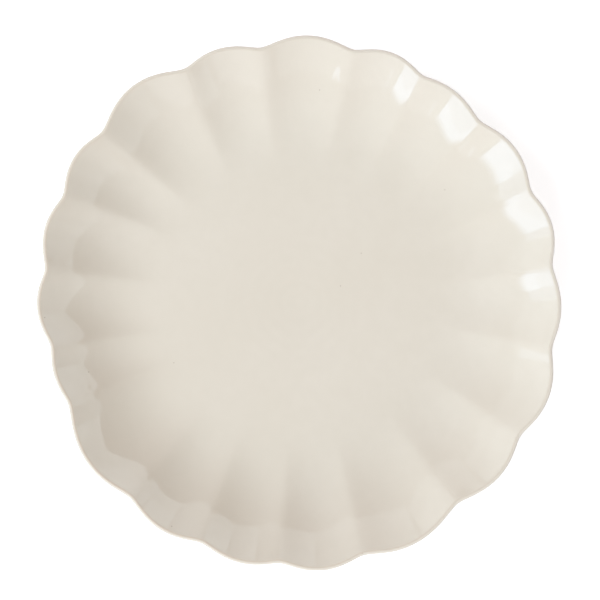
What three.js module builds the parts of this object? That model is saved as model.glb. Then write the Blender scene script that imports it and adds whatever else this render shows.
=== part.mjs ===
// A hand-formed stoneware plate with a flat well, uneven flutes and a scalloped lip.
// Millimetres, +Z up. The origin is on the table, under the middle of the well.
import * as THREE from "three";

// Driving dimensions: the clay and glaze together, unless a name says otherwise
const LIP_RADIUS = 138.5; // middle of the lip's roll, at the crest of an even flute
const LIP_THICKNESS = 3;
const WELL_RADIUS = 73; // flat floor, out to where the wall starts to rise
const FLOOR_THICKNESS = 6;
const COVE_WIDTH = 62; // the wall's hollow bend, from the well to its straight edge below the lip
const WALL_RISE = 27; // from the middle of the floor to the middle of the lip
const RIDGE_LIFT = 1.05; // how much higher a ridge runs than the flutes beside it, at most
const GLAZE_THICKNESS = 0.5;
const FOOT_HEIGHT = 5; // clay ring, from the table to the clay floor
const FOOT_WIDTH = 5; // clay ring
const FOOT_INSET = 5; // from the well's edge in to the clay ring
const FOOT_EDGE_RADIUS = 1;
const GLAZE_LINE = 1.2; // the ring is bare clay below this height
const GLAZE_FILLET = 1.8; // glaze pooled in the corner between the ring and the floor

// The flutes in turn, anticlockwise from the first ridge. Each entry has a ridge and the flute
// after it: the flute's span at the lip and the sway of the ridge's inner end, in degrees, and
// how far the ridge falls short of the lip radius (pinch) and the crest passes it (swell), in mm.
const FIRST_RIDGE_ANGLE = 8;
const FLUTES = [
  { span: 17.5, sway: -1.5, pinch: 5.3, swell: -0.8 },
  { span: 19.75, sway: -0.5, pinch: 4.4, swell: -0.3 },
  { span: 16, sway: -1, pinch: 5.1, swell: -2 },
  { span: 16.5, sway: 0, pinch: 4, swell: 0 },
  { span: 20.75, sway: 1, pinch: 4.1, swell: 0.3 },
  { span: 17.5, sway: 1, pinch: 4.6, swell: -0.3 },
  { span: 23.25, sway: 3, pinch: 3.2, swell: 3.4 },
  { span: 16.5, sway: -1, pinch: 2.9, swell: 0.6 },
  { span: 17, sway: -3, pinch: 3.7, swell: -0.9 },
  { span: 17.5, sway: -0.5, pinch: 5.3, swell: -2.4 },
  { span: 13.25, sway: 1, pinch: 7.4, swell: -5.8 },
  { span: 25.5, sway: 1.5, pinch: 7.4, swell: -0.5 },
  { span: 18.75, sway: -0.5, pinch: 4.1, swell: -0.1 },
  { span: 18, sway: -1.5, pinch: 3.5, swell: 0.3 },
  { span: 18.75, sway: 0, pinch: 2.5, swell: 1.4 },
  { span: 23.75, sway: 1, pinch: 2.8, swell: 0.7 },
  { span: 20.5, sway: 0.5, pinch: 5.2, swell: -0.4 },
  { span: 21.25, sway: 2, pinch: 3.9, swell: 0.5 },
  { span: 18, sway: 0, pinch: 4.7, swell: -2.1 },
];
const RIDGE_SOFTNESS = 0.2; // rounding of a ridge, as a share of half a flute

// How finely the surfaces are divided
const FLUTE_STATIONS = [-1, -0.75, -0.35, 0, 0.35, 0.75]; // across a flute, ridge to ridge is -1 to 1
const WALL_STEPS = [0, 0.18, 0.34, 0.5, 0.64, 0.8, 1]; // up the wall, well to lip is 0 to 1
const QUARTER_STEPS = 2; // in each quarter turn of a rounded edge

const QUARTER_TURN = Math.PI / 2;
const FULL_TURN = 360;
const FLOOR_HALF = FLOOR_THICKNESS / 2;
const LIP_HALF = LIP_THICKNESS / 2;
const FLOOR_MIDDLE = FOOT_HEIGHT - GLAZE_THICKNESS + FLOOR_HALF; // height of the floor's middle
const FOOT_OUTER = WELL_RADIUS - FOOT_INSET;
const FOOT_INNER = FOOT_OUTER - FOOT_WIDTH;

function smoothStep(share) {
  const x = Math.min(1, Math.max(0, share));
  return x * x * (3 - 2 * x);
}

// Height across a flute: 0 on the rounded ridges at -1 and 1, and 1 in the middle.
function arch(across) {
  const fromRidge = 1 - Math.abs(across);
  const softened = Math.hypot(fromRidge, RIDGE_SOFTNESS) - RIDGE_SOFTNESS;
  const inward = softened / (Math.hypot(1, RIDGE_SOFTNESS) - RIDGE_SOFTNESS);
  return inward * (2 - inward);
}

// One column is a run up the plate at a fixed place across a flute.
function makeColumns() {
  const allSpans = FLUTES.reduce((sum, flute) => sum + flute.span, 0);
  const columns = [];
  let ridgeAngle = FIRST_RIDGE_ANGLE;
  FLUTES.forEach((flute, index) => {
    const next = FLUTES[(index + 1) % FLUTES.length];
    const span = (flute.span * FULL_TURN) / allSpans;
    const startRadius = LIP_RADIUS - flute.pinch;
    const endRadius = LIP_RADIUS - next.pinch;
    const crestHeight = LIP_RADIUS + flute.swell - (startRadius + endRadius) / 2;
    for (const across of FLUTE_STATIONS) {
      const along = (across + 1) / 2;
      const lipAngle = ridgeAngle + span * along;
      const sway = THREE.MathUtils.lerp(flute.sway, next.sway, along);
      const ridgeRadius = THREE.MathUtils.lerp(startRadius, endRadius, smoothStep(along));
      columns.push({
        lipAngle: THREE.MathUtils.degToRad(lipAngle),
        wellAngle: THREE.MathUtils.degToRad(lipAngle + sway),
        lipRadius: ridgeRadius + crestHeight * arch(across),
        ridgeShare: 1 - arch(across),
      });
    }
    ridgeAngle += span;
  });
  return columns;
}

const COLUMNS = makeColumns();

// The wall's slope as a share of its slope at the lip, and the area under it, for a share of the
// way up from the well to the lip. The slope grows smoothly over the cove and stays even after it.
const COVE_SHARE = COVE_WIDTH / (LIP_RADIUS - WELL_RADIUS);

function slopeShare(up) {
  return smoothStep(up / COVE_SHARE);
}

function slopeArea(up) {
  const x = Math.min(1, up / COVE_SHARE);
  return COVE_SHARE * (x ** 3 - x ** 4 / 2) + Math.max(0, up - COVE_SHARE);
}

const LIP_RATE = WALL_RISE / slopeArea(1);

// The extra height of a ridge over its flutes: none at the well and at the lip.
const LIFT_START = 1.5;
const LIFT_END = 1.5;
const LIFT_PEAK = LIFT_START / (LIFT_START + LIFT_END);
const LIFT_SCALE = RIDGE_LIFT / (LIFT_PEAK ** LIFT_START * (1 - LIFT_PEAK) ** LIFT_END);

function ridgeLift(up) {
  return LIFT_SCALE * up ** LIFT_START * (1 - up) ** LIFT_END;
}

function ridgeLiftRate(up) {
  const growing = LIFT_START * up ** (LIFT_START - 1) * (1 - up) ** LIFT_END;
  const fading = LIFT_END * up ** LIFT_START * (1 - up) ** (LIFT_END - 1);
  return LIFT_SCALE * (growing - fading);
}

// The middle of the wall on a column: its radius, height, upward normal and half thickness.
function wallMiddle(column, up) {
  const run = column.lipRadius - WELL_RADIUS;
  const rate = LIP_RATE * slopeShare(up) + column.ridgeShare * ridgeLiftRate(up);
  const length = Math.hypot(run, rate);
  return {
    radius: WELL_RADIUS + run * up,
    height: FLOOR_MIDDLE + LIP_RATE * slopeArea(up) + column.ridgeShare * ridgeLift(up),
    normal: new THREE.Vector2(-rate / length, run / length),
    half: THREE.MathUtils.lerp(FLOOR_HALF, LIP_HALF, smoothStep(up)),
  };
}

// A point of a column at a radius and a height, turned by the ridges' sway.
function place(column, up, radius, height) {
  const angle = THREE.MathUtils.lerp(column.wellAngle, column.lipAngle, up);
  return new THREE.Vector3(radius * Math.cos(angle), radius * Math.sin(angle), height);
}

// Points up one side of the wall, from the well to the lip. Side is 1 for the face, -1 for the back.
function wallSide(column, side, depth) {
  return WALL_STEPS.map((up) => {
    const { radius, height, normal, half } = wallMiddle(column, up);
    const reach = side * (half - depth);
    return place(column, up, radius + reach * normal.x, height + reach * normal.y);
  });
}

// Points round the lip between two angles, where 0 is the end of the face and a half turn the back.
function lipRoll(column, depth, fromAngle, toAngle) {
  const { radius, height, normal, half } = wallMiddle(column, 1);
  const steps = Math.round((QUARTER_STEPS * (toAngle - fromAngle)) / QUARTER_TURN);
  const points = [];
  for (let step = 0; step <= steps; step += 1) {
    const angle = THREE.MathUtils.lerp(fromAngle, toAngle, step / steps);
    const reach = normal.clone().rotateAround(new THREE.Vector2(), -angle).multiplyScalar(half - depth);
    points.push(place(column, 1, radius + reach.x, height + reach.y));
  }
  return points;
}

// A quarter round in the foot's section, turning clockwise about its centre from an angle.
function quarterRound(column, centreRadius, centreHeight, radius, fromAngle) {
  const points = [];
  for (let step = 0; step <= QUARTER_STEPS; step += 1) {
    const angle = fromAngle - (QUARTER_TURN * step) / QUARTER_STEPS;
    const along = centreRadius + radius * Math.cos(angle);
    const height = centreHeight + radius * Math.sin(angle);
    points.push(place(column, 0, along, height));
  }
  return points;
}

function axisPoint(height) {
  return new THREE.Vector3(0, 0, height);
}

// A solid from one section a column, each listed clockwise with the radius to the right and the
// height up. A section runs from the axis to the axis, or closes on itself as a ring. Each
// four-cornered facet is cut along its shorter diagonal, so that touching solids share their facets.
function loft(sections, isRing) {
  const points = [];
  const triangles = [];
  const count = sections[0].length;
  const last = isRing ? count : count - 1;
  const rows = sections.map((section) =>
    section.map((point, index) => {
      const onAxis = !isRing && (index === 0 || index === last);
      return onAxis && section !== sections[0] ? index : points.push(point) - 1;
    }),
  );
  rows.forEach((row, column) => {
    const nextRow = rows[(column + 1) % rows.length];
    for (let index = 0; index < last; index += 1) {
      const after = (index + 1) % count;
      const corners = [row[index], row[after], nextRow[after], nextRow[index]];
      const [a, b, c, d] = corners;
      const [pa, pb, pc, pd] = corners.map((corner) => points[corner]);
      const halves = pa.distanceTo(pc) <= pb.distanceTo(pd) ? [a, b, c, a, c, d] : [a, b, d, b, c, d];
      triangles.push(...(b === c ? [a, b, d] : a === d ? [a, b, c] : halves));
    }
  });
  const geometry = new THREE.BufferGeometry().setFromPoints(points);
  geometry.setIndex(triangles);
  geometry.computeVertexNormals();
  return geometry;
}

// The pressed clay: face, lip and back, with a flat underside for the foot ring.
function plateBody() {
  const top = axisPoint(FLOOR_MIDDLE + FLOOR_HALF - GLAZE_THICKNESS);
  const bottom = axisPoint(FOOT_HEIGHT);
  const sections = COLUMNS.map((column) => [
    top,
    ...wallSide(column, 1, GLAZE_THICKNESS),
    ...lipRoll(column, GLAZE_THICKNESS, 0, 2 * QUARTER_TURN).slice(1, -1),
    ...wallSide(column, -1, GLAZE_THICKNESS).reverse(),
    bottom,
  ]);
  return loft(sections, false);
}

// The clay ring that the plate stands on, with rounded edges at the table.
function footRing() {
  const edge = Math.min(FOOT_EDGE_RADIUS, FOOT_WIDTH / 2, GLAZE_LINE);
  const sections = COLUMNS.map((column) => [
    place(column, 0, FOOT_INNER, FOOT_HEIGHT),
    place(column, 0, FOOT_OUTER, FOOT_HEIGHT),
    ...quarterRound(column, FOOT_OUTER - edge, edge, edge, 0),
    ...quarterRound(column, FOOT_INNER + edge, edge, edge, -QUARTER_TURN),
  ]);
  return loft(sections, true);
}

// The glaze on the well, the flutes and the upper half of the lip.
function faceGlaze() {
  const top = axisPoint(FLOOR_MIDDLE + FLOOR_HALF);
  const under = axisPoint(FLOOR_MIDDLE + FLOOR_HALF - GLAZE_THICKNESS);
  const sections = COLUMNS.map((column) => [
    top,
    ...wallSide(column, 1, 0),
    ...lipRoll(column, 0, 0, QUARTER_TURN).slice(1),
    ...lipRoll(column, GLAZE_THICKNESS, 0, QUARTER_TURN).slice(1).reverse(),
    ...wallSide(column, 1, GLAZE_THICKNESS).reverse(),
    under,
  ]);
  return loft(sections, false);
}

// The glaze from the lip down the back, over the floor's edge and down the ring's outer side.
const GLAZED_FLOOR = FOOT_HEIGHT - GLAZE_THICKNESS;
const FILLET = Math.min(GLAZE_FILLET, GLAZED_FLOOR - GLAZE_LINE, FOOT_INSET - GLAZE_THICKNESS);

function backGlaze() {
  const ringSide = FOOT_OUTER + GLAZE_THICKNESS;
  const filletHeight = GLAZED_FLOOR - FILLET;
  const sections = COLUMNS.map((column) => [
    place(column, 0, FOOT_OUTER, GLAZE_LINE),
    place(column, 0, FOOT_OUTER, FOOT_HEIGHT),
    ...wallSide(column, -1, GLAZE_THICKNESS),
    ...lipRoll(column, GLAZE_THICKNESS, QUARTER_TURN, 2 * QUARTER_TURN).slice(0, -1).reverse(),
    ...lipRoll(column, 0, QUARTER_TURN, 2 * QUARTER_TURN).slice(0, -1),
    ...wallSide(column, -1, 0).reverse(),
    ...quarterRound(column, ringSide + FILLET, filletHeight, FILLET, 2 * QUARTER_TURN).reverse(),
    place(column, 0, ringSide, GLAZE_LINE),
  ]);
  return loft(sections, true);
}

// The glaze on the floor inside the ring and on the ring's inner side.
function footWellGlaze() {
  const ringSide = FOOT_INNER - GLAZE_THICKNESS;
  const filletHeight = GLAZED_FLOOR - FILLET;
  const sections = COLUMNS.map((column) => [
    axisPoint(FOOT_HEIGHT),
    place(column, 0, FOOT_INNER, FOOT_HEIGHT),
    place(column, 0, FOOT_INNER, GLAZE_LINE),
    place(column, 0, ringSide, GLAZE_LINE),
    ...quarterRound(column, ringSide - FILLET, filletHeight, FILLET, QUARTER_TURN).reverse(),
    axisPoint(GLAZED_FLOOR),
  ]);
  return loft(sections, false);
}

const clay = new THREE.MeshStandardMaterial({ color: 0xd8c6aa, roughness: 0.9, metalness: 0 });
const glaze = new THREE.MeshStandardMaterial({ color: 0xe2dccf, roughness: 0.12, metalness: 0 });

function addMesh(group, name, geometry, material) {
  const mesh = new THREE.Mesh(geometry, material);
  mesh.name = name;
  group.add(mesh);
}

const plate = new THREE.Group();
addMesh(plate, "plate_body", plateBody(), clay);
addMesh(plate, "foot_ring", footRing(), clay);
addMesh(plate, "face_glaze", faceGlaze(), glaze);
addMesh(plate, "back_glaze", backGlaze(), glaze);
addMesh(plate, "foot_well_glaze", footWellGlaze(), glaze);

export default plate;
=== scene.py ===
"""The looks of a fluted stoneware plate: glaze coats over clay, plain light and a camera."""
import math

import bpy
import numpy as np
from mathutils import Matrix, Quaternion, Vector, noise


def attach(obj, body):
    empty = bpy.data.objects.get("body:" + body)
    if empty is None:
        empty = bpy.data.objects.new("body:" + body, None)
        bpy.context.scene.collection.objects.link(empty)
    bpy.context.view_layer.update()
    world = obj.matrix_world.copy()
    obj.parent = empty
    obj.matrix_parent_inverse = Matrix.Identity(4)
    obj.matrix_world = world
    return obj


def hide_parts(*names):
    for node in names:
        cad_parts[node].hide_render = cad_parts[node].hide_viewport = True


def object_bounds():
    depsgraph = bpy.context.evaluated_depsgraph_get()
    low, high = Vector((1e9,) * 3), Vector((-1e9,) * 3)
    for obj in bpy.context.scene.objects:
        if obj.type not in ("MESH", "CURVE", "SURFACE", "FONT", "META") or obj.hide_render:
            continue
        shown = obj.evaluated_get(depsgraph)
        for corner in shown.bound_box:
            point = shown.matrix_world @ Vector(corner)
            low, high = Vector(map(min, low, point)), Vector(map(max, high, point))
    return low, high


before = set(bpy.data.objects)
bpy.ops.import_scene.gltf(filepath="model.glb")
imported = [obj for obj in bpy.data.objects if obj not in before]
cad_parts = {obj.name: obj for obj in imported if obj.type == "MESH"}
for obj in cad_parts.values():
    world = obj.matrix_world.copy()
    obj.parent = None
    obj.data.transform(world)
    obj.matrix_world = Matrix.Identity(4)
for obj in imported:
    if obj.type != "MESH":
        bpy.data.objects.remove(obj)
CAD_LOW, CAD_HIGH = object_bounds()

# Driving dimensions in metres, the same as those of the solids
LIP_RADIUS = 0.1385
LIP_THICKNESS = 0.003
WELL_RADIUS = 0.073
FLOOR_THICKNESS = 0.006
COVE_WIDTH = 0.062
WALL_RISE = 0.027
RIDGE_LIFT = 0.00105
GLAZE_THICKNESS = 0.0005
FOOT_HEIGHT = 0.005
FOOT_WIDTH = 0.005
FOOT_INSET = 0.005
FOOT_EDGE_RADIUS = 0.001
GLAZE_LINE = 0.0012
GLAZE_FILLET = 0.0018

# Shape of the ridges: how round they are, and how their lift grows and fades up the wall
RIDGE_SOFTNESS = 0.2
LIFT_START = 1.5
LIFT_END = 1.5

# Span and sway in degrees, pinch and swell in millimetres, as in the solids
FIRST_RIDGE_ANGLE = 8
FLUTES = [
    (17.5, -1.5, 5.3, -0.8),
    (19.75, -0.5, 4.4, -0.3),
    (16, -1, 5.1, -2),
    (16.5, 0, 4, 0),
    (20.75, 1, 4.1, 0.3),
    (17.5, 1, 4.6, -0.3),
    (23.25, 3, 3.2, 3.4),
    (16.5, -1, 2.9, 0.6),
    (17, -3, 3.7, -0.9),
    (17.5, -0.5, 5.3, -2.4),
    (13.25, 1, 7.4, -5.8),
    (25.5, 1.5, 7.4, -0.5),
    (18.75, -0.5, 4.1, -0.1),
    (18, -1.5, 3.5, 0.3),
    (18.75, 0, 2.5, 1.4),
    (23.75, 1, 2.8, 0.7),
    (20.5, 0.5, 5.2, -0.4),
    (21.25, 2, 3.9, 0.5),
    (18, 0, 4.7, -2.1),
]
MILLIMETRE = 0.001
FULL_CIRCLE = 360

# How finely the surfaces are divided
FLUTE_STATIONS = 28
WELL_RINGS = 36
WALL_RINGS = 72
LIP_QUARTER_RINGS = 18
HIDDEN_WELL_RINGS = 4
HIDDEN_WALL_RINGS = 18
HIDDEN_LIP_QUARTER_RINGS = 4
FOOT_QUARTER_RINGS = 8
SHARP_ANGLE = math.radians(50)

# Hand-made unevenness of the glazed surface, and of the glaze's wiped edge on the foot
SWELL_HEIGHT = 0.00003
SWELL_LENGTH = 0.022
GLAZE_LINE_WAVER = 0.00022
WAVERS = 4

# The shallow dip that turning leaves in the middle of the glazed well, and the low ring round it
DIP_RADIUS = 0.027
DIP_DEPTH = 0.0004
TURNED_RING_RADIUS = 0.037
TURNED_RING_WIDTH = 0.004
TURNED_RING_HEIGHT = 0.00004

# How thin the glaze runs: 1 where the clay tints it most, 0 on the flat, and -1 for painted light.
# Over the lip it runs thinnest inside the roll on the window's side. On the other side the shaded
# outer roll is painted pale instead, a painted light.
THIN_AND_PAINTED_LIGHT = "thin"
RIDGE_THIN = 0.06
LIP_THIN_TURN = 0.5
LIP_THIN_WIDTH = 0.32
# Where on the lip's roll the painted light lies, and how wide it is
LIP_PAINTED_LIGHT_TURN = 1.6
LIP_PAINTED_LIGHT_WIDTH = 0.6
# The side that faces the window: thin glaze there, and painted light on the shaded side opposite
LIP_WINDOW_SIDE = math.radians(215)

QUARTER_TURN = math.pi / 2
FLOOR_HALF = FLOOR_THICKNESS / 2
LIP_HALF = LIP_THICKNESS / 2
GLAZED_FLOOR = FOOT_HEIGHT - GLAZE_THICKNESS
FLOOR_MIDDLE = GLAZED_FLOOR + FLOOR_HALF
FOOT_OUTER = WELL_RADIUS - FOOT_INSET
FOOT_INNER = FOOT_OUTER - FOOT_WIDTH


def lerp(start, end, share):
    return start + (end - start) * share


def smooth_step(share):
    x = np.clip(share, 0, 1)
    return x * x * (3 - 2 * x)


def bell(value, middle, width):
    """A bell curve of height 1."""
    return np.exp(-(((value - middle) / width) ** 2))


def arch(across):
    """Height across a flute: 0 on the rounded ridges at -1 and 1, and 1 in the middle."""
    from_ridge = 1 - np.abs(across)
    softened = np.hypot(from_ridge, RIDGE_SOFTNESS) - RIDGE_SOFTNESS
    inward = softened / (math.hypot(1, RIDGE_SOFTNESS) - RIDGE_SOFTNESS)
    return inward * (2 - inward)


def make_columns():
    """Lip angle, well angle, lip radius and ridge share of every run up the plate."""
    across = np.sin(QUARTER_TURN * np.linspace(-1, 1, FLUTE_STATIONS, endpoint=False))
    along = (across + 1) / 2
    all_spans = sum(span for span, _, _, _ in FLUTES)
    ridge_angle = FIRST_RIDGE_ANGLE
    columns = []
    for flute, after in zip(FLUTES, FLUTES[1:] + FLUTES[:1]):
        span, sway, pinch, crest_swell = flute
        _, end_sway, end_pinch, _ = after
        turn = span * FULL_CIRCLE / all_spans
        start_radius = LIP_RADIUS - pinch * MILLIMETRE
        end_radius = LIP_RADIUS - end_pinch * MILLIMETRE
        crest_height = LIP_RADIUS + crest_swell * MILLIMETRE - (start_radius + end_radius) / 2
        lip_angle = ridge_angle + turn * along
        well_angle = lip_angle + lerp(sway, end_sway, along)
        ridge_radius = lerp(start_radius, end_radius, smooth_step(along))
        lip_radius = ridge_radius + crest_height * arch(across)
        column = [np.radians(lip_angle), np.radians(well_angle), lip_radius, 1 - arch(across)]
        columns.append(column)
        ridge_angle += turn
    return np.concatenate(columns, axis=1)


LIP_ANGLE, WELL_ANGLE, COLUMN_RADIUS, RIDGE_SHARE = make_columns()
COLUMNS = len(LIP_ANGLE)

COVE_SHARE = COVE_WIDTH / (LIP_RADIUS - WELL_RADIUS)
LIFT_PEAK = LIFT_START / (LIFT_START + LIFT_END)
LIFT_SCALE = RIDGE_LIFT / (LIFT_PEAK**LIFT_START * (1 - LIFT_PEAK) ** LIFT_END)


def slope_share(up):
    """The wall's slope as a share of its slope at the lip, up the wall from 0 to 1."""
    return smooth_step(up / COVE_SHARE)


def slope_area(up):
    """The height that the slope share adds up to."""
    x = min(1, up / COVE_SHARE)
    return COVE_SHARE * (x**3 - x**4 / 2) + max(0, up - COVE_SHARE)


LIP_RATE = WALL_RISE / slope_area(1)


def ridge_lift(up):
    """How far the ridges stand over the flutes, up the wall."""
    return LIFT_SCALE * up**LIFT_START * (1 - up) ** LIFT_END


def ridge_lift_rate(up):
    growing = LIFT_START * up ** (LIFT_START - 1) * (1 - up) ** LIFT_END
    fading = LIFT_END * up**LIFT_START * (1 - up) ** (LIFT_END - 1)
    return LIFT_SCALE * (growing - fading)


def place(up, radius, height):
    """One ring of points, a point for each column, turned by the ridges' sway."""
    angle = lerp(WELL_ANGLE, LIP_ANGLE, up)
    radius = np.broadcast_to(radius, COLUMNS)
    height = np.broadcast_to(height, COLUMNS)
    return np.stack([radius * np.cos(angle), radius * np.sin(angle), height], axis=1)


def wall_ring(up, depth, turn):
    """A ring of the wall at a depth under its skin.
    The turn is 0 on the face, a half turn on the back, and between them on the lip."""
    run = COLUMN_RADIUS - WELL_RADIUS
    rate = LIP_RATE * slope_share(up) + RIDGE_SHARE * ridge_lift_rate(up)
    lean = np.arctan2(-rate, run) + turn
    height = FLOOR_MIDDLE + LIP_RATE * slope_area(up) + RIDGE_SHARE * ridge_lift(up)
    reach = lerp(FLOOR_HALF, LIP_HALF, smooth_step(up)) - depth
    radius = WELL_RADIUS + run * up + reach * np.sin(lean)
    return place(up, radius, height + reach * np.cos(lean))


def axis_point(height):
    return np.array([[0.0, 0.0, height]])


def well_rings(height, count):
    radii = np.linspace(0, WELL_RADIUS, count + 1)[1:-1]
    return [place(0, radius, height) for radius in radii]


def wall_rings(depth, turn, count):
    return [wall_ring(up, depth, turn) for up in np.linspace(0, 1, count + 1)]


def lip_rings(depth, start, end, count):
    """Rings round the lip between two turns, both ends included."""
    return [wall_ring(1, depth, turn) for turn in np.linspace(start, end, count + 1)]


def quarter_round(centre_radius, centre_height, radius, start):
    """Rings round a quarter of a circle in the foot's section, clockwise from an angle."""
    angles = start - np.linspace(0, QUARTER_TURN, FOOT_QUARTER_RINGS + 1)
    return [
        place(0, centre_radius + radius * math.cos(angle), centre_height + radius * math.sin(angle))
        for angle in angles
    ]


def swell(points):
    """Points lifted and lowered by the shallow unevenness of a hand-made surface."""
    for point in points:
        point[2] += SWELL_HEIGHT * noise.noise(Vector(point) / SWELL_LENGTH)
    return points


def turned(points):
    """Points with the dip and the ring that turning leaves in the well."""
    radius = np.hypot(points[:, 0], points[:, 1])
    dip = np.maximum(0, 1 - (radius / DIP_RADIUS) ** 2) ** 2
    ring = bell(radius, TURNED_RING_RADIUS, TURNED_RING_WIDTH)
    points[:, 2] += TURNED_RING_HEIGHT * ring - DIP_DEPTH * dip
    return points


def ring_mesh(name, rings, closes=False, thin=()):
    """A closed mesh through rings listed clockwise in its section. An end ring may be one point.
    Thin says how thin the glaze runs on the first rings, from -1 to 1, and below 0 it gives painted
    light. The rest is 0."""
    starts = np.cumsum([0] + [len(ring) for ring in rings])
    pairs = list(zip(range(len(rings) - 1), range(1, len(rings))))
    if closes:
        pairs.append((len(rings) - 1, 0))
    here = np.arange(COLUMNS)
    there = (here + 1) % COLUMNS
    faces = []
    for first, second in pairs:
        inner = starts[first]
        outer = starts[second]
        if len(rings[first]) == 1:
            corners = [np.full(COLUMNS, inner), outer + here, outer + there]
        elif len(rings[second]) == 1:
            corners = [inner + here, np.full(COLUMNS, outer), inner + there]
        else:
            corners = [inner + here, outer + here, outer + there, inner + there]
        faces.extend(np.stack(corners, axis=1).tolist())
    points = np.clip(np.concatenate(rings), CAD_LOW, CAD_HIGH)
    mesh = bpy.data.meshes.new(name)
    mesh.from_pydata(points.tolist(), [], faces)
    mesh.shade_smooth()
    mesh.set_sharp_from_angle(angle=SHARP_ANGLE)
    thinness_and_painted_light = np.zeros(len(points), np.float32)
    for start, ring, value in zip(starts, rings, thin):
        thinness_and_painted_light[start : start + len(ring)] = value
    mesh.attributes.new(THIN_AND_PAINTED_LIGHT, "FLOAT", "POINT").data.foreach_set("value", thinness_and_painted_light)
    return mesh


def add_piece(name, mesh, material, node):
    piece = bpy.data.objects.new(name, mesh)
    bpy.context.scene.collection.objects.link(piece)
    mesh.materials.append(material)
    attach(piece, "root")
    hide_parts(node)


def face_under():
    """The face's clay under the glaze, from the axis to the lip's edge."""
    height = FLOOR_MIDDLE + FLOOR_HALF - GLAZE_THICKNESS
    lip = lip_rings(GLAZE_THICKNESS, 0, QUARTER_TURN, HIDDEN_LIP_QUARTER_RINGS)
    return [
        axis_point(height),
        *well_rings(height, HIDDEN_WELL_RINGS),
        *wall_rings(GLAZE_THICKNESS, 0, HIDDEN_WALL_RINGS),
        *lip[1:],
    ]


def back_under():
    """The back's clay under the glaze, from the lip's edge to the well's radius."""
    lip = lip_rings(GLAZE_THICKNESS, QUARTER_TURN, 2 * QUARTER_TURN, HIDDEN_LIP_QUARTER_RINGS)
    wall = wall_rings(GLAZE_THICKNESS, 2 * QUARTER_TURN, HIDDEN_WALL_RINGS)
    return [*lip[:-1], *reversed(wall)]


def ridge_thin(up):
    """How thin the glaze runs over the ridges, up the wall."""
    return RIDGE_THIN * smooth_step(up) * RIDGE_SHARE**2


def lip_thin_and_painted_light(turn):
    """How thin the glaze runs over the lip at a turn round its roll, less the painted light that
    turns the shaded outer roll pale away from the window.
    """
    side = (1 + np.cos(LIP_ANGLE - LIP_WINDOW_SIDE)) / 2
    thin = side * bell(turn, LIP_THIN_TURN, LIP_THIN_WIDTH)
    # Painted light: the outer roll away from the window, which lies in shade, turned pale
    painted_light = (1 - side) ** 2 * bell(turn, LIP_PAINTED_LIGHT_TURN, LIP_PAINTED_LIGHT_WIDTH)
    return np.maximum(ridge_thin(1), thin) - painted_light


def face_coat_mesh():
    height = FLOOR_MIDDLE + FLOOR_HALF
    lip = lip_rings(0, 0, QUARTER_TURN, LIP_QUARTER_RINGS)
    shown = [
        axis_point(height),
        *well_rings(height, WELL_RINGS),
        *wall_rings(0, 0, WALL_RINGS),
        *lip[1:],
    ]
    thin = [
        *[0] * WELL_RINGS,
        *[ridge_thin(up) for up in np.linspace(0, 1, WALL_RINGS + 1)],
        *[lip_thin_and_painted_light(turn) for turn in np.linspace(0, QUARTER_TURN, LIP_QUARTER_RINGS + 1)[1:]],
    ]
    shown = [swell(turned(ring)) for ring in shown]
    return ring_mesh("face_coat", [*shown, *reversed(face_under())], thin=thin)


def glaze_line():
    """Height of the glaze's wiped edge on the foot ring, round the plate."""
    turns = [Vector((math.cos(angle), math.sin(angle), 0)) for angle in WELL_ANGLE]
    return np.array([GLAZE_LINE + GLAZE_LINE_WAVER * noise.noise(WAVERS * turn) for turn in turns])


def glaze_bead(clay_radius, thickness, line):
    """Rings of the rounded edge where a coat on the foot ring ends, from its skin to the clay."""
    rings = []
    for angle in np.linspace(0, QUARTER_TURN, FOOT_QUARTER_RINGS + 1):
        radius = clay_radius + thickness * math.cos(angle)
        rings.append(place(0, radius, line + GLAZE_THICKNESS * (1 - math.sin(angle))))
    return rings


def back_coat_mesh():
    lip = lip_rings(0, QUARTER_TURN, 2 * QUARTER_TURN, LIP_QUARTER_RINGS)
    wall = wall_rings(0, 2 * QUARTER_TURN, WALL_RINGS)
    shown = [swell(ring) for ring in [*lip[:-1], *reversed(wall)]]
    lip_turns = np.linspace(QUARTER_TURN, 2 * QUARTER_TURN, LIP_QUARTER_RINGS + 1)
    fillet_radius = FOOT_OUTER + GLAZE_THICKNESS + GLAZE_FILLET
    fillet_height = GLAZED_FLOOR - GLAZE_FILLET
    fillet = quarter_round(fillet_radius, fillet_height, GLAZE_FILLET, 2 * QUARTER_TURN)
    foot = [
        *reversed(fillet),
        *glaze_bead(FOOT_OUTER, GLAZE_THICKNESS, glaze_line()),
        place(0, FOOT_OUTER, FOOT_HEIGHT),
    ]
    rings = [*shown, *foot, *reversed(back_under())]
    return ring_mesh("back_coat", rings, closes=True, thin=[lip_thin_and_painted_light(turn) for turn in lip_turns])


def foot_well_coat_mesh():
    fillet_radius = FOOT_INNER - GLAZE_THICKNESS - GLAZE_FILLET
    fillet_height = GLAZED_FLOOR - GLAZE_FILLET
    fillet = quarter_round(fillet_radius, fillet_height, GLAZE_FILLET, QUARTER_TURN)
    floor_radii = np.linspace(0, fillet_radius, WELL_RINGS)[1:-1]
    floor = [swell(place(0, radius, GLAZED_FLOOR)) for radius in floor_radii]
    rings = [
        axis_point(FOOT_HEIGHT),
        place(0, FOOT_INNER, FOOT_HEIGHT),
        *reversed(glaze_bead(FOOT_INNER, -GLAZE_THICKNESS, glaze_line())),
        *reversed(fillet),
        *reversed(floor),
        axis_point(GLAZED_FLOOR),
    ]
    return ring_mesh("foot_well_coat", rings)


def clay_body_mesh():
    return ring_mesh("clay_body", [*face_under(), *back_under()[1:], axis_point(FOOT_HEIGHT)])


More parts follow.
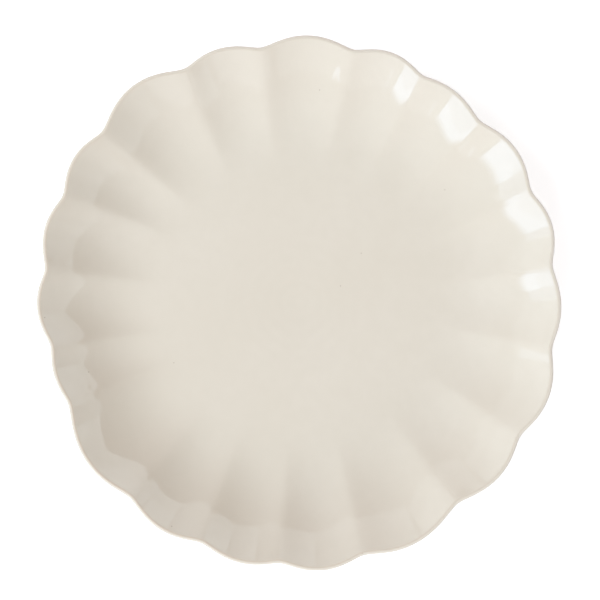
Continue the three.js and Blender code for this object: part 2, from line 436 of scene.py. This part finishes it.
def clay_foot_mesh():
    edge = FOOT_EDGE_RADIUS
    rings = [
        place(0, FOOT_INNER, FOOT_HEIGHT),
        place(0, FOOT_OUTER, FOOT_HEIGHT),
        *quarter_round(FOOT_OUTER - edge, edge, edge, 0),
        *quarter_round(FOOT_INNER + edge, edge, edge, -QUARTER_TURN),
    ]
    return ring_mesh("clay_foot", rings, closes=True)


def add_node(tree, kind, values, **settings):
    """A shader node with its settings, and its inputs set to values or linked to sockets."""
    made = tree.nodes.new(kind)
    for key, setting in settings.items():
        setattr(made, key, setting)
    for key, value in values.items():
        if isinstance(value, bpy.types.NodeSocket):
            tree.links.new(value, made.inputs[key])
        else:
            made.inputs[key].default_value = value
    return made


def math_node(tree, operation, first, second):
    return add_node(tree, "ShaderNodeMath", {0: first, 1: second}, operation=operation).outputs[0]


def vector_node(tree, operation, values):
    return add_node(tree, "ShaderNodeVectorMath", values, operation=operation)


def map_range(tree, value, source, target):
    """A value carried from one range to another, each a start and an end."""
    values = {
        "Value": value,
        "From Min": source[0],
        "From Max": source[1],
        "To Min": target[0],
        "To Max": target[1],
    }
    return add_node(tree, "ShaderNodeMapRange", values).outputs["Result"]


# Sockets of a Mix node that mixes colours
MIX_SHARE = 0
MIX_FIRST = 6
MIX_SECOND = 7
MIX_RESULT = 2


def mix_colour(tree, share, first, second):
    """One colour turning into another, each a socket or a linear red, green and blue."""
    values = {MIX_SHARE: share, MIX_FIRST: first, MIX_SECOND: second}
    for key in (MIX_FIRST, MIX_SECOND):
        if isinstance(values[key], tuple):
            values[key] = (*values[key], 1)
    return add_node(tree, "ShaderNodeMix", values, data_type="RGBA").outputs[MIX_RESULT]


def noise_texture(tree, place_socket, fineness):
    """Noise by its scale and its detail."""
    scale, detail = fineness
    values = {"Vector": place_socket, "Scale": scale, "Detail": detail}
    return add_node(tree, "ShaderNodeTexNoise", values).outputs[0]


def object_place(tree):
    return add_node(tree, "ShaderNodeTexCoord", {}).outputs["Object"]


def new_material(name):
    material = bpy.data.materials.new(name)
    material.use_nodes = True
    tree = material.node_tree
    return material, tree, tree.nodes["Principled BSDF"]


def link_bump(tree, shader, height, strength, distance):
    bump = add_node(
        tree, "ShaderNodeBump", {"Strength": strength, "Distance": distance, "Height": height}
    )
    tree.links.new(bump.outputs[0], shader.inputs["Normal"])


WHOLE = (0, 1)

# The glaze, in linear red, green and blue
IVORY = (0.705, 0.661, 0.574)
IVORY_DEEP = (0.688, 0.642, 0.551)
RING_TONE = (0.671, 0.626, 0.537)
TAN = (0.62, 0.535, 0.438)
# Painted light: the pale colour given to the lip's shaded outer roll
PAINTED_LIGHT = (0.8, 0.77, 0.71)
SPECK = (0.33, 0.26, 0.19)

# The glaze's textures: scale and detail of each noise, the part of it that counts, and its share
GLAZE_CLOUD = (17, 4)
GLAZE_CLOUD_RANGE = (0.32, 0.68)
GLAZE_MOTTLE = (160, 3)
GLAZE_MOTTLE_RANGE = (0.35, 0.75)
GLAZE_MOTTLE_SHARE = (0, 0.35)
THINNED_RANGE = (0, 1)
# The part of the thinness below 0, which gives the painted light
PAINTED_LIGHT_RANGE = (0, -1)

# The glaze's gloss, and the fine unevenness of its skin
GLAZE_IOR = 1.58
GLAZE_GLOSS_RANGE = (0.3, 0.7)
GLAZE_ROUGHNESS = (0.03, 0.05)
GLAZE_PEEL = (420, 1)
GLAZE_PEEL_STRENGTH = 0.25
GLAZE_PEEL_HEIGHT = 0.00002

# Turning rings in the well: the radii in metres between which they fade, and their waves
RINGS_FADE = (0.02, 0.05)
RINGS_SHARE = (0.2, 0)
RINGS_WAVE = {"Scale": 46, "Distortion": 2, "Detail": 2, "Detail Scale": 18}

# Iron specks: one may lie in each cell, of which few are chosen
SPECK_CELL_SCALE = 90
SPECK_EDGE = (0.012, 0.034)
SPECK_SHARE = (0.7, 0)
SPECK_CHOICE = 0.982


def turning_rings(tree, place_socket):
    """Faint rings left by turning, in the middle of the well and gone before its edge."""
    flat = vector_node(tree, "MULTIPLY", {0: place_socket, 1: (1, 1, 0)})
    radius = vector_node(tree, "LENGTH", {0: flat.outputs[0]})
    fade = map_range(tree, radius.outputs["Value"], RINGS_FADE, RINGS_SHARE)
    values = {"Vector": place_socket, **RINGS_WAVE}
    wave = add_node(tree, "ShaderNodeTexWave", values, wave_type="RINGS", rings_direction="Z")
    return math_node(tree, "MULTIPLY", wave.outputs["Fac"], fade)


def iron_specks(tree, place_socket):
    """A few tiny specks of iron that have bled through the glaze."""
    values = {"Vector": place_socket, "Scale": SPECK_CELL_SCALE}
    cells = add_node(tree, "ShaderNodeTexVoronoi", values, voronoi_dimensions="2D")
    near = map_range(tree, cells.outputs["Distance"], SPECK_EDGE, SPECK_SHARE)
    pick = add_node(tree, "ShaderNodeSeparateColor", {0: cells.outputs["Color"]})
    chosen = math_node(tree, "GREATER_THAN", pick.outputs[0], SPECK_CHOICE)
    return math_node(tree, "MULTIPLY", near, chosen)


def glaze_material():
    material, tree, shader = new_material("ivory_glaze")
    spot = object_place(tree)
    cloud = noise_texture(tree, spot, GLAZE_CLOUD)
    mottle = noise_texture(tree, spot, GLAZE_MOTTLE)
    peel = noise_texture(tree, spot, GLAZE_PEEL)
    thin = add_node(tree, "ShaderNodeAttribute", {}, attribute_name=THIN_AND_PAINTED_LIGHT).outputs["Fac"]
    clouded = map_range(tree, cloud, GLAZE_CLOUD_RANGE, WHOLE)
    mottled = map_range(tree, mottle, GLAZE_MOTTLE_RANGE, GLAZE_MOTTLE_SHARE)
    colour = mix_colour(tree, clouded, IVORY_DEEP, IVORY)
    colour = mix_colour(tree, mottled, colour, RING_TONE)
    colour = mix_colour(tree, turning_rings(tree, spot), colour, RING_TONE)
    colour = mix_colour(tree, iron_specks(tree, spot), colour, SPECK)
    colour = mix_colour(tree, map_range(tree, thin, THINNED_RANGE, WHOLE), colour, TAN)
    # Painted light on the lip's shaded outer roll
    colour = mix_colour(tree, map_range(tree, thin, PAINTED_LIGHT_RANGE, WHOLE), colour, PAINTED_LIGHT)
    roughness = map_range(tree, mottle, GLAZE_GLOSS_RANGE, GLAZE_ROUGHNESS)
    tree.links.new(colour, shader.inputs["Base Color"])
    tree.links.new(roughness, shader.inputs["Roughness"])
    link_bump(tree, shader, peel, GLAZE_PEEL_STRENGTH, GLAZE_PEEL_HEIGHT)
    shader.inputs["IOR"].default_value = GLAZE_IOR
    return material


# The bare clay of the foot, in linear red, green and blue
CLAY_PALE = (0.62, 0.51, 0.37)
CLAY_DARK = (0.47, 0.36, 0.24)
GROG = (0.28, 0.19, 0.12)

# The clay's textures: scale and detail of each noise, the part of it that counts, and its share
CLAY_CLOUD = (60, 4)
CLAY_CLOUD_RANGE = (0.3, 0.7)
CLAY_GRAIN = (1500, 3)
CLAY_GRAIN_RANGE = (0.35, 0.65)
CLAY_GRAIN_SHARE = (0, 0.4)
CLAY_GROG = (700, 1)
CLAY_GROG_RANGE = (0.68, 0.74)
CLAY_GROG_SHARE = (0, 0.8)

# The clay's dull skin
CLAY_GLOSS_RANGE = (0.3, 0.7)
CLAY_ROUGHNESS = (0.75, 0.95)
CLAY_GRAIN_STRENGTH = 0.6
CLAY_GRAIN_HEIGHT = 0.0001


def clay_material():
    material, tree, shader = new_material("bare_clay")
    spot = object_place(tree)
    cloud = noise_texture(tree, spot, CLAY_CLOUD)
    grain = noise_texture(tree, spot, CLAY_GRAIN)
    grog = noise_texture(tree, spot, CLAY_GROG)
    clouded = map_range(tree, cloud, CLAY_CLOUD_RANGE, WHOLE)
    grained = map_range(tree, grain, CLAY_GRAIN_RANGE, CLAY_GRAIN_SHARE)
    grogged = map_range(tree, grog, CLAY_GROG_RANGE, CLAY_GROG_SHARE)
    colour = mix_colour(tree, clouded, CLAY_DARK, CLAY_PALE)
    colour = mix_colour(tree, grained, colour, CLAY_DARK)
    colour = mix_colour(tree, grogged, colour, GROG)
    roughness = map_range(tree, grain, CLAY_GLOSS_RANGE, CLAY_ROUGHNESS)
    tree.links.new(colour, shader.inputs["Base Color"])
    tree.links.new(roughness, shader.inputs["Roughness"])
    link_bump(tree, shader, grain, CLAY_GRAIN_STRENGTH, CLAY_GRAIN_HEIGHT)
    return material


GLAZE = glaze_material()
CLAY = clay_material()
add_piece("face_coat", face_coat_mesh(), GLAZE, "face_glaze")
add_piece("back_coat", back_coat_mesh(), GLAZE, "back_glaze")
add_piece("foot_well_coat", foot_well_coat_mesh(), GLAZE, "foot_well_glaze")
add_piece("clay_body", clay_body_mesh(), CLAY, "plate_body")
add_piece("clay_foot", clay_foot_mesh(), CLAY, "foot_ring")

# The room: warm light from all round, and white to the eye
ROOM_LIGHT = (0.33, 0.3, 0.262)
WHITE = (1, 1, 1)

# The floor: pale, just below the foot, with a glow that only the eye sees and that keeps it white.
# The glow's tint makes up for the warm light in the plate's shadow.
FLOOR_SIZE = 8
FLOOR_DROP = 0.0002
FLOOR_COLOUR = (0.88, 0.89, 0.91)
FLOOR_GLOW = 0.58
FLOOR_GLOW_TINT = (0.95, 0.99, 1.03)

# Panels round the plate, all at one distance in metres. Each has its azimuth, width, lowest and
# highest elevation in degrees, and its radiance.
LAMP_DISTANCE = 6

# Broad lights that shade the plate and don't show in its gloss
SOFT_PANELS = [
    (180, 45, 34, 66, 4),
    (225, 45, 34, 66, 2.44),
    (270, 45, 8, 34, 1.13),
    (315, 45, 8, 34, 1.8),
    (90, 45, 8, 34, 0.73),
]
SOFT_TINTS = [
    (0.932, 1, 1.056),
    (0.882, 1, 1.127),
    (1.24, 1, 1.18),
    (1.01, 1, 0.96),
    (1.7, 1, 0.95),
]

# The bright window, which only the gloss shows. It starts with two dimmer panes, fades at its top,
# and a narrow light beside it makes a glint.
WINDOW_PANELS = [
    (187.75, 3.4, 8, 23.5, 0.85),
    (193.1, 6.9, 8, 23.5, 1.2),
    (213.75, 32.5, 8, 19.5, 2.2),
    (213.75, 32.5, 19.5, 24, 2.75),
    (213.75, 32.5, 24, 25.5, 1.7),
    (213.75, 32.5, 25.5, 27, 0.6),
    (241.2, 0.8, 20.5, 26, 1.9),
]
WINDOW_TINT = (0.76, 1, 1.36)

# Dimmer walls on both sides of the window, which only the gloss shows
BACK_PANELS = [
    (157.5, 58, 8, 22, 0.85),
    (157.5, 58, 22, 30, 0.5),
    (262.5, 60, 8, 28, 0.4),
]
ROOM_TINT = (0.86, 1, 1.06)

# The paler sides of the room, which only the gloss shows: along its top edge the azimuth and the
# elevation in degrees, and from there to the next point the radiance at the edge and low down
ROOM_EDGE = [
    (300, 31.5, 0.5, 0.4),
    (332, 29.3, 0.8, 0.6),
    (352, 25.7, 0.9, 0.9),
    (370, 21.7, 1.25, 2),
    (396, 23.1, 1.25, 2.05),
    (424, 26.8, 0.87, 1.2),
    (450, 30, 0.6, 0.55),
    (484, 30, 0, 0),
]
# Strips under that edge: how far down they start and end, and their share of the low radiance
ROOM_STRIPS = [(0, 4, 0), (4, 8, 0.5), (8, 13, 1)]
# How far neighbouring strips overlap, in degrees
ROOM_LAP = 0.35


def shown_to_eye(tree):
    """A value of 1 for the rays that show a surface (camera, glossy and transmission), else 0."""
    rays = add_node(tree, "ShaderNodeLightPath", {}).outputs
    seen = math_node(tree, "MAXIMUM", rays["Is Camera Ray"], rays["Is Glossy Ray"])
    return math_node(tree, "MAXIMUM", seen, rays["Is Transmission Ray"])


def add_world():
    world = bpy.data.worlds.new("studio")
    bpy.context.scene.world = world
    world.use_nodes = True
    tree = world.node_tree
    colour = mix_colour(tree, shown_to_eye(tree), ROOM_LIGHT, WHITE)
    tree.links.new(colour, tree.nodes["Background"].inputs["Color"])


def add_floor():
    half = FLOOR_SIZE / 2
    corners = [(-half, -half), (half, -half), (half, half), (-half, half)]
    mesh = bpy.data.meshes.new("floor")
    mesh.from_pydata([(*corner, -FLOOR_DROP) for corner in corners], [], [(0, 1, 2, 3)])
    material, tree, shader = new_material("pale_floor")
    shader.inputs["Base Color"].default_value = (*FLOOR_COLOUR, 1)
    shader.inputs["Roughness"].default_value = 1
    shader.inputs["Specular IOR Level"].default_value = 0
    shader.inputs["Emission Color"].default_value = (*FLOOR_GLOW_TINT, 1)
    glow = math_node(tree, "MULTIPLY", shown_to_eye(tree), FLOOR_GLOW)
    tree.links.new(glow, shader.inputs["Emission Strength"])
    mesh.materials.append(material)
    floor = bpy.data.objects.new("floor", mesh)
    bpy.context.scene.collection.objects.link(floor)


def lamp_side(degrees):
    """Length of a lamp's side that covers an angle."""
    return 2 * LAMP_DISTANCE * math.tan(math.radians(degrees / 2))


def add_panel(name, panel, tint, roll=0):
    """A far lamp that faces the plate, by the angles that it covers and its roll."""
    azimuth, width, low, high, radiance = panel
    turn = math.radians(azimuth)
    rise = math.radians((low + high) / 2)
    level = math.cos(rise)
    away = Vector((math.cos(turn) * level, math.sin(turn) * level, math.sin(rise)))
    lamp = bpy.data.lights.new(name, "AREA")
    lamp.shape = "RECTANGLE"
    lamp.size = lamp_side(width)
    lamp.size_y = lamp_side(high - low)
    lamp.energy = radiance * math.pi * lamp.size * lamp.size_y
    lamp.color = tint
    holder = bpy.data.objects.new(name, lamp)
    holder.location = LAMP_DISTANCE * away
    facing = away.to_track_quat("Z", "Y") @ Quaternion((0, 0, 1), roll)
    holder.rotation_euler = facing.to_euler()
    bpy.context.scene.collection.objects.link(holder)
    return holder


def add_room_panels():
    """Strips along the room's edge, each rolled to follow it."""
    panels = []
    for number, (start, end) in enumerate(zip(ROOM_EDGE, ROOM_EDGE[1:])):
        start_azimuth, start_top, edge_radiance, low_radiance = start
        end_azimuth, end_top, _, _ = end
        azimuth = (start_azimuth + end_azimuth) / 2
        top = (start_top + end_top) / 2
        across = (end_azimuth - start_azimuth) * math.cos(math.radians(top))
        width = math.hypot(across, end_top - start_top) + ROOM_LAP
        roll = math.atan2(end_top - start_top, across)
        for depth, deeper, share in ROOM_STRIPS:
            radiance = lerp(edge_radiance, low_radiance, share)
            strip = (azimuth, width, top - deeper, top - depth, radiance)
            panels.append(add_panel(f"room_panel_{number}_{depth}", strip, ROOM_TINT, roll))
    return panels


def add_lights():
    for number, (panel, tint) in enumerate(zip(SOFT_PANELS, SOFT_TINTS)):
        add_panel(f"soft_panel_{number}", panel, tint).visible_glossy = False
    mirrored = []
    for number, panel in enumerate(WINDOW_PANELS):
        mirrored.append(add_panel(f"window_panel_{number}", panel, WINDOW_TINT))
    for number, panel in enumerate(BACK_PANELS):
        mirrored.append(add_panel(f"back_panel_{number}", panel, ROOM_TINT))
    mirrored += add_room_panels()
    for panel in mirrored:
        panel.visible_diffuse = False


# The camera looks straight down. Its place is in metres, its lens and sensor in millimetres
CAMERA_PLACE = (0.00058, 0.00121, 1.5)
CAMERA_LENS = 167.5
CAMERA_SENSOR = 36


def add_camera():
    camera = bpy.data.cameras.new("camera")
    camera.lens = CAMERA_LENS
    camera.sensor_width = CAMERA_SENSOR
    holder = bpy.data.objects.new("camera", camera)
    holder.location = CAMERA_PLACE
    bpy.context.scene.collection.objects.link(holder)
    bpy.context.scene.camera = holder


add_world()
add_floor()
add_lights()
add_camera()
bpy.context.scene.view_settings.view_transform = "Standard"
